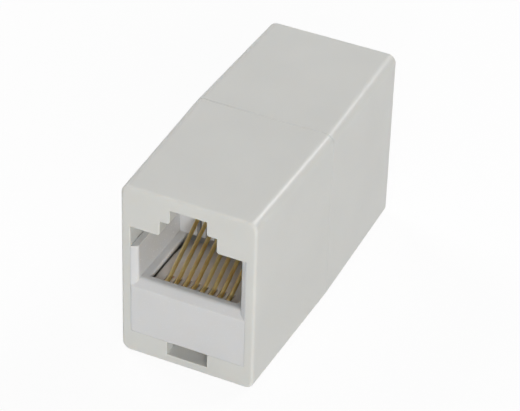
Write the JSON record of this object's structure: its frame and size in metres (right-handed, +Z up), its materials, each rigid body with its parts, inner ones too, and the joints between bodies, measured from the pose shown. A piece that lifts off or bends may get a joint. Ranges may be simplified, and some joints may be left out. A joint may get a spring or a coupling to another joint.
{
  "type": "rj45 inline coupler",
  "caption": "Inline coupler that joins modular network plugs end to end: a plain white split housing with a latch keyway and sprung gold contact wires at each end.",
  "frame": {"origin": "middle of the flat underside, in the plane of the seam between the two shells", "axes": "+Y along the cable run, from the front end to the rear end; +Z up, the side of the latch keyways; +X to the right, seen from the front end"},
  "size_m": [0.0162, 0.0356, 0.0215],
  "materials": {
    "shell_plastic": "moulded satin gloss",
    "frame_plastic": "moulded satin gloss",
    "block_plastic": "moulded matt",
    "contact_gold": "gold plated, bright"
  },
  "bodies": {
    "root": {"front_shell": "shell_plastic", "rear_shell": "shell_plastic", "inner_frame": "frame_plastic", "front_contact_block": "block_plastic", "rear_contact_block": "block_plastic", "wire_cover": "block_plastic", "contact_wire_1": "contact_gold", "contact_wire_2": "contact_gold", "contact_wire_3": "contact_gold", "contact_wire_4": "contact_gold", "contact_wire_5": "contact_gold", "contact_wire_6": "contact_gold", "contact_wire_7": "contact_gold", "contact_wire_8": "contact_gold"}
  },
  "joints": []
}
